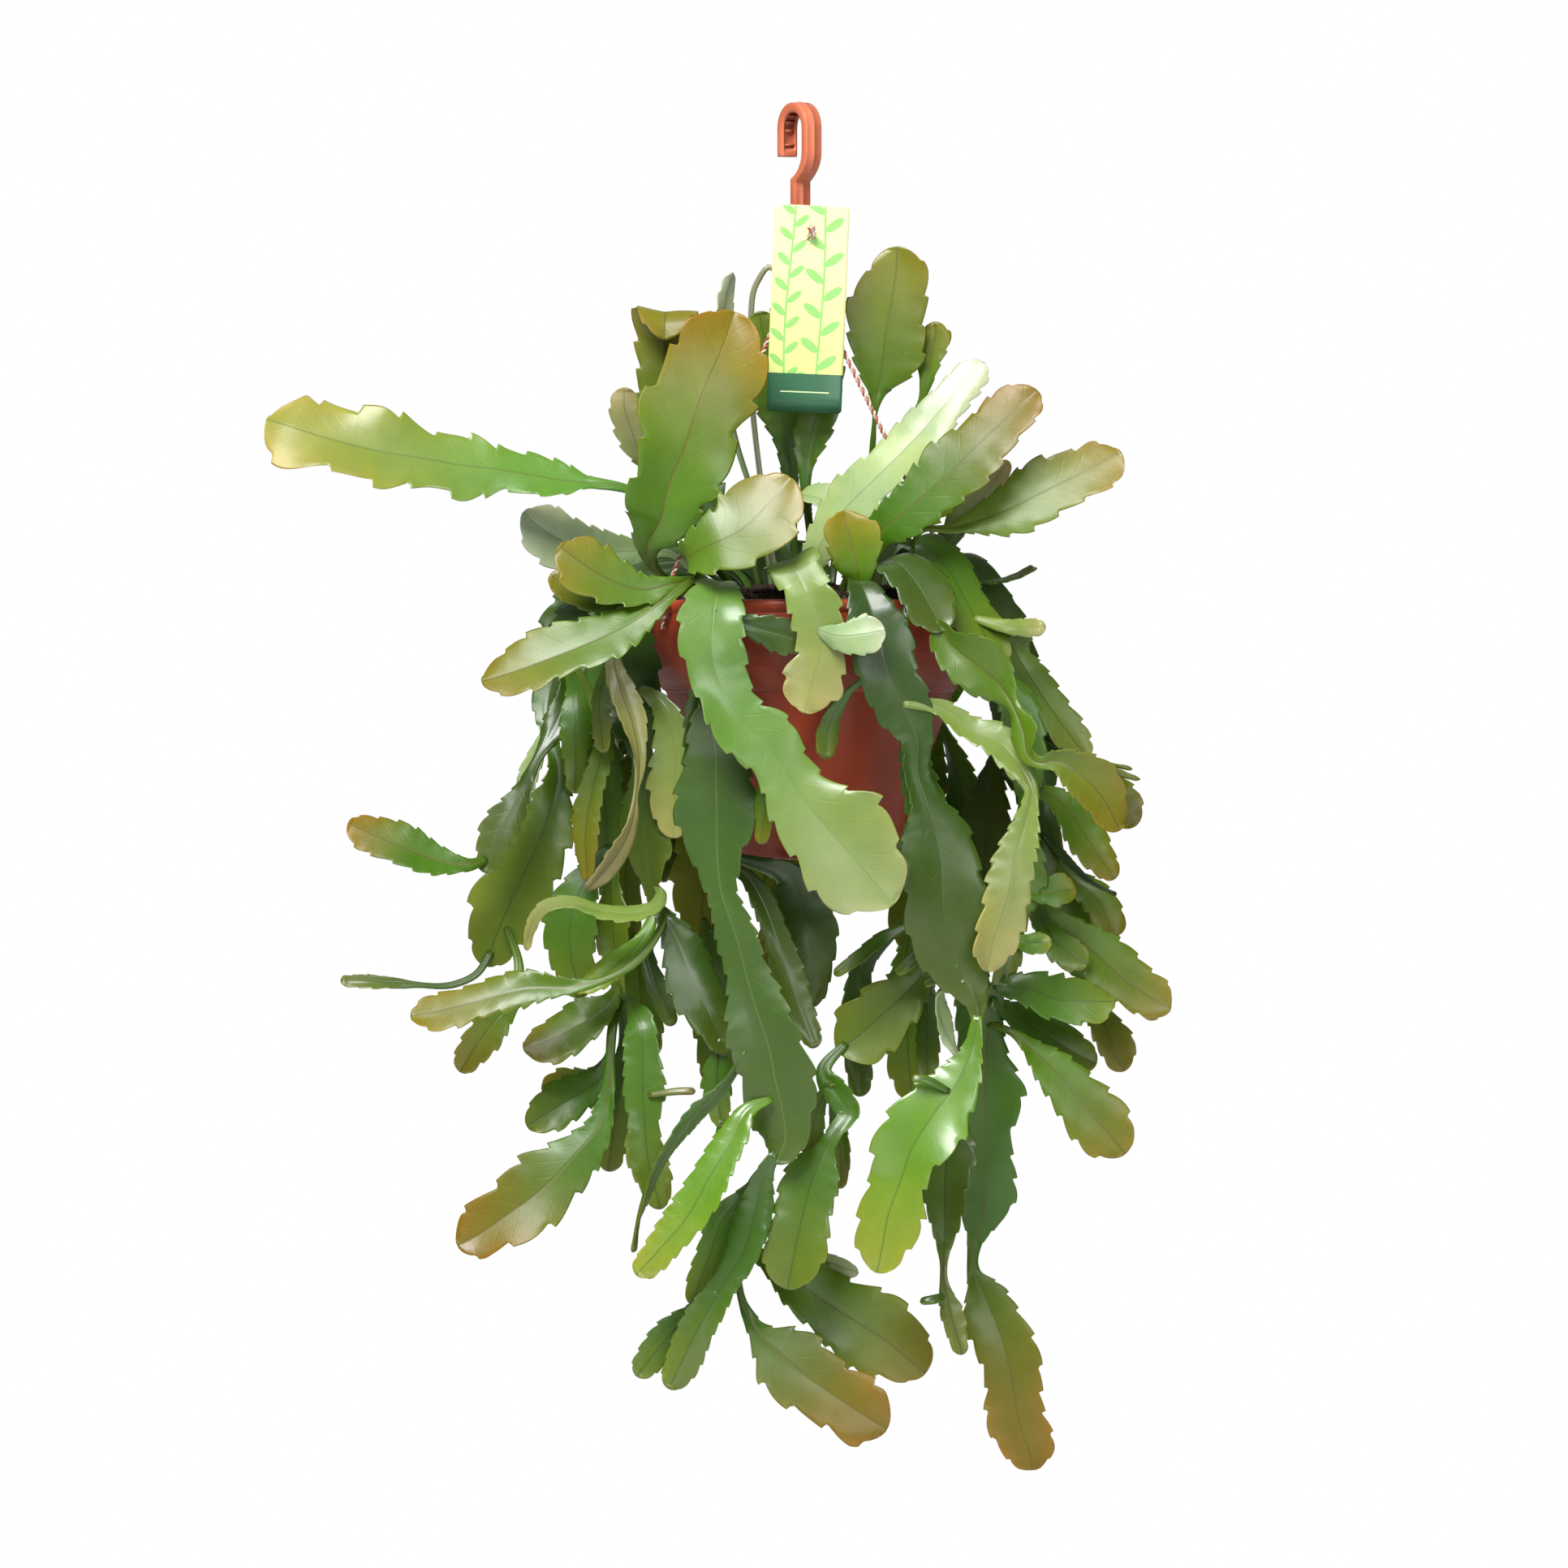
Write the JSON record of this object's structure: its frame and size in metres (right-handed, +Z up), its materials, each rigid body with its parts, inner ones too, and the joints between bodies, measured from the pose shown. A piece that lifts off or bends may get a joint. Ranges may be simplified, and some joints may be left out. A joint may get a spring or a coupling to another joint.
{
  "type": "hanging potted leaf cactus plant",
  "caption": "Hanging pot of a trailing leaf cactus with flat toothed green blades, on a plastic hook with cords and a card label.",
  "frame": {"origin": "underside of the hook's crown, where the object bears on whatever it hangs from", "axes": "+Z up, X to the right of the plant's front, Y to its back"},
  "size_m": [0.447, 0.2459, 0.6738],
  "materials": {
    "hook_plastic": "satin moulded plastic",
    "pot_plastic": "glossy moulded plastic",
    "soil": null,
    "cord": "twisted terracotta and white strands",
    "label_card": "printed plastic card",
    "leaf_bronze": null,
    "leaf_glossy": null,
    "leaf_mid": null,
    "leaf_pale": null,
    "leaf_bright": null,
    "leaf_yellow": null,
    "leaf_dark": null
  },
  "bodies": {
    "root": {"hook": "hook_plastic", "pot": "pot_plastic", "soil": "soil", "hanger_cord_1": "cord", "hanger_cord_2": "cord", "hanger_cord_3": "cord", "label": "label_card", "label_tie": "cord", "stem_upright_left": "leaf_bronze", "stem_long_left": "leaf_glossy", "stem_folded_left": "leaf_mid", "stem_pale_edge": "leaf_pale", "stem_thin_arch": "leaf_mid", "stem_front_left": "leaf_bronze", "stem_pale_left": "leaf_pale", "stem_behind_label_left": "leaf_mid", "stem_behind_label_right": "leaf_mid", "stem_upright_right": "leaf_bright", "stem_pale_right": "leaf_pale", "stem_broad_right": "leaf_bronze", "stem_pale_stripe": "leaf_pale", "stem_front_wavy": "leaf_yellow", "stem_front_chain": "leaf_glossy", "stem_front_right": "leaf_mid", "stem_right_drape": "leaf_dark", "stem_right_arch": "leaf_dark", "stem_right_side": "leaf_dark", "stem_right_behind": "leaf_dark", "stem_left_inner": "leaf_dark", "stem_left_middle": "leaf_mid", "stem_left_outer": "leaf_mid", "stem_left_behind": "leaf_mid", "stem_back_1": "leaf_dark", "stem_back_2": "leaf_mid", "stem_back_3": "leaf_bronze", "stem_back_4": "leaf_mid", "stem_back_5": "leaf_bright", "stem_back_6": "leaf_mid", "stem_back_upright_left": "leaf_bronze", "stem_back_upright_right": "leaf_bronze", "stem_back_fan_left": "leaf_bright", "stem_back_fan_right": "leaf_mid"}
  },
  "joints": []
}
